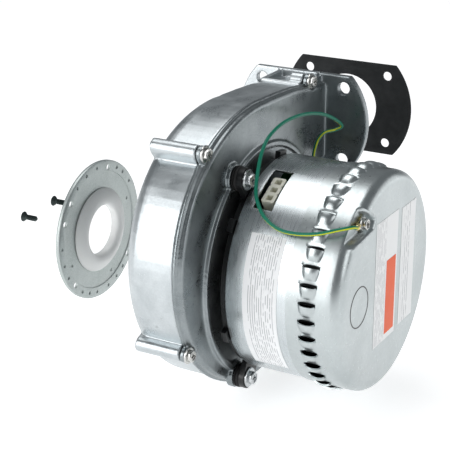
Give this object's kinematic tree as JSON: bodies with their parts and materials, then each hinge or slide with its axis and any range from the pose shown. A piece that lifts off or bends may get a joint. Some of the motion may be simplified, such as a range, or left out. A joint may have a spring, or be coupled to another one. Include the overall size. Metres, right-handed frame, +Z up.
{
  "type": "combustion fan",
  "caption": "Combustion fan for a boiler: cast snail housing with an outlet flange, brushless motor under a louvred steel cover, loose inlet plate and gasket.",
  "frame": {"origin": "centre of the outlet flange's outer face, where the fan is bolted to the boiler", "axes": "+X along the shaft from the inlet toward the motor's end cap, +Y the way the air leaves the outlet, +Z up"},
  "size_m": [0.2516, 0.2727, 0.1965],
  "materials": {
    "cast_aluminium": "as cast, light grey",
    "cast_aluminium_lid": "as cast, slightly darker",
    "screw_steel": "zinc plated",
    "bracket_screw_steel": "dark plated",
    "seal_felt": "oiled felt",
    "isolator_rubber": "matt black",
    "bracket_black": "black painted steel",
    "bearing_steel": "ground",
    "lamination_steel": "dull stacked sheet",
    "copper_winding": "enamelled copper",
    "zinc_plated_steel": "bright zinc plated sheet",
    "cap_steel": "bright zinc plated sheet",
    "board_laminate": "green laminate",
    "capacitor_sleeve": "dark sleeve",
    "connector_nylon": "natural nylon",
    "pin_brass": "plated",
    "label_white": "blank white film",
    "label_orange": "blank orange film",
    "wire_green": "green sleeve with a yellow stripe",
    "shaft_steel": "ground",
    "impeller_aluminium": "pressed sheet",
    "ferrite_magnet": "dark ferrite",
    "fan_plastic": "black moulded",
    "plate_zinc": "dull zinc plate",
    "nozzle_plastic": "milky white",
    "black_steel": "black oxide",
    "gasket_fibre": "matt black sheet"
  },
  "bodies": {
    "housing": {"intake_housing": "cast_aluminium", "motor_side_housing": "cast_aluminium_lid", "housing_screw_1": "screw_steel", "housing_screw_2": "screw_steel", "housing_screw_3": "screw_steel", "housing_screw_4": "screw_steel", "housing_screw_5": "screw_steel", "shaft_seal": "seal_felt", "isolator_1": "isolator_rubber", "isolator_2": "isolator_rubber", "isolator_3": "isolator_rubber", "bracket_screw_1": "bracket_screw_steel", "bracket_screw_2": "bracket_screw_steel", "bracket_screw_3": "bracket_screw_steel", "motor_frame": "bracket_black", "bearing_outer_front": "bearing_steel", "bearing_outer_rear": "bearing_steel", "stator_core": "lamination_steel", "stator_winding": "copper_winding", "rear_bracket": "bracket_black", "motor_shell": "zinc_plated_steel", "end_cap": "cap_steel", "control_board": "board_laminate", "capacitor_1": "capacitor_sleeve", "capacitor_2": "capacitor_sleeve", "connector_housing": "connector_nylon", "connector_pin_1": "pin_brass", "connector_pin_2": "pin_brass", "connector_pin_3": "pin_brass", "shell_label": "label_white", "cap_label_main": "label_white", "cap_label_side": "label_white", "cap_label_band": "label_orange", "earth_screw_cap": "screw_steel", "earth_screw_housing": "screw_steel", "ring_terminal_cap": "pin_brass", "ring_terminal_housing": "pin_brass", "earth_wire": "wire_green"},
    "rotor": {"shaft": "shaft_steel", "impeller_wheel": "impeller_aluminium", "impeller_shroud": "impeller_aluminium", "impeller_nut": "screw_steel", "bearing_inner_front": "bearing_steel", "bearing_inner_rear": "bearing_steel", "bearing_balls_front": "bearing_steel", "bearing_balls_rear": "bearing_steel", "rotor_core": "lamination_steel", "rotor_magnet": "ferrite_magnet", "cooling_fan": "fan_plastic"},
    "inlet_plate_set": {"inlet_plate": "plate_zinc", "inlet_nozzle": "nozzle_plastic"},
    "inlet_screw_upper": {"inlet_screw_upper": "black_steel"},
    "inlet_screw_lower": {"inlet_screw_lower": "black_steel"},
    "outlet_gasket": {"outlet_gasket": "gasket_fibre"}
  },
  "joints": [
    {"name": "rotor_spin", "type": "hinge", "parent": "housing", "child": "rotor", "pos_m": [0.029, -0.096, -0.0686], "axis": [1, 0, 0], "continuous": true},
    {"name": "inlet_plate_slide", "type": "slide", "parent": "housing", "child": "inlet_plate_set", "axis": [0.9986, 0, 0.0534], "range_m": [0, 0.0843]},
    {"name": "inlet_screw_upper_slide", "type": "slide", "parent": "inlet_plate_set", "child": "inlet_screw_upper", "axis": [1, 0, 0], "range_m": [0, 0.0111]},
    {"name": "inlet_screw_lower_slide", "type": "slide", "parent": "inlet_plate_set", "child": "inlet_screw_lower", "axis": [1, 0, 0], "range_m": [0, 0.0311]},
    {"name": "outlet_gasket_slide", "type": "slide", "parent": "housing", "child": "outlet_gasket", "axis": [0.0069, -0.9928, 0.1193], "range_m": [0, 0.0721]}
  ]
}
